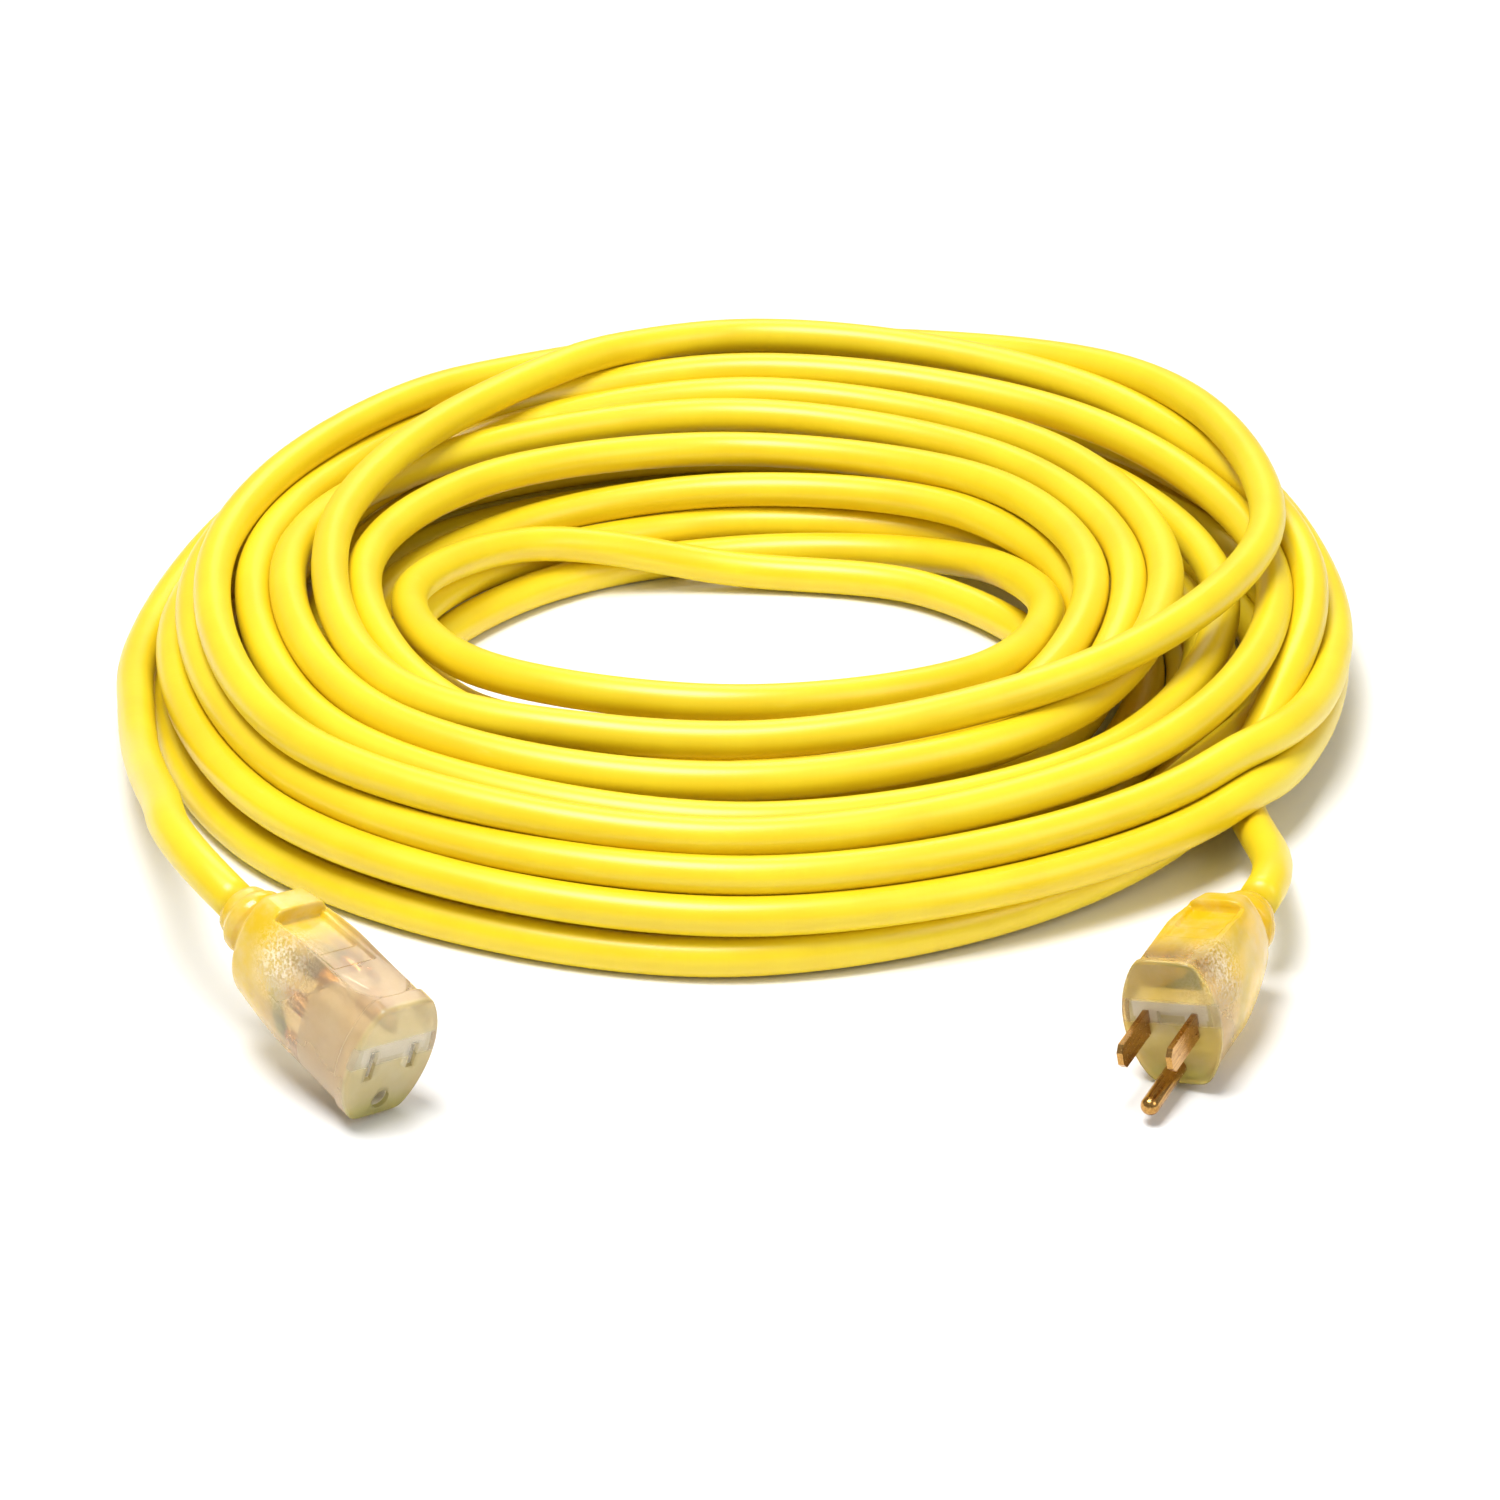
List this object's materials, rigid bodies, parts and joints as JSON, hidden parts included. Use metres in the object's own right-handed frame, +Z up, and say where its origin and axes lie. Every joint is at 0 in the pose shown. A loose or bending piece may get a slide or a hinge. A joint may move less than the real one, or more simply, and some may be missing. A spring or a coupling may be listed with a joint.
{
  "type": "extension cord",
  "caption": "Coiled heavy-duty grounded extension cord with a yellow jacket, a clear moulded plug and a clear moulded lighted connector.",
  "frame": {"origin": "on the floor under the middle of the whole object's box", "axes": "+Z up, -Y towards the two ends that lie in front of the coil, +X to the side where the plug lies"},
  "size_m": [0.354, 0.4343, 0.05],
  "materials": {
    "plug_clear": "clear, lightly frosted",
    "connector_clear": "clear, lightly frosted",
    "mould_insert": "matte",
    "blade_brass": "polished",
    "contact_brass": "satin",
    "black_insulation": "satin",
    "white_insulation": "satin",
    "green_insulation": "satin",
    "copper_strands": "bare copper",
    "filler": "paper and jute",
    "lamp": "clear",
    "resistor": "satin",
    "lead_tin": "tinned",
    "jacket": "satin"
  },
  "bodies": {
    "root": {"plug_housing": "plug_clear", "plug_bridge": "mould_insert", "line_blade": "blade_brass", "neutral_blade": "blade_brass", "ground_pin": "blade_brass", "plug_line_wire": "black_insulation", "plug_neutral_wire": "white_insulation", "plug_ground_wire": "green_insulation", "plug_line_strands": "copper_strands", "plug_neutral_strands": "copper_strands", "plug_ground_strands": "copper_strands", "plug_jacket_end": "jacket", "plug_filler": "filler", "connector_housing": "connector_clear", "connector_insert": "mould_insert", "line_contact": "contact_brass", "neutral_contact": "contact_brass", "ground_contact": "contact_brass", "connector_line_wire": "black_insulation", "connector_neutral_wire": "white_insulation", "connector_ground_wire": "green_insulation", "connector_line_strands": "copper_strands", "connector_neutral_strands": "copper_strands", "connector_ground_strands": "copper_strands", "connector_jacket_end": "jacket", "connector_filler": "filler", "indicator_lamp": "lamp", "lamp_resistor": "resistor", "lamp_leads": "lead_tin", "cord_coil": "jacket", "cord_to_plug": "jacket", "cord_to_connector": "jacket"}
  },
  "joints": []
}
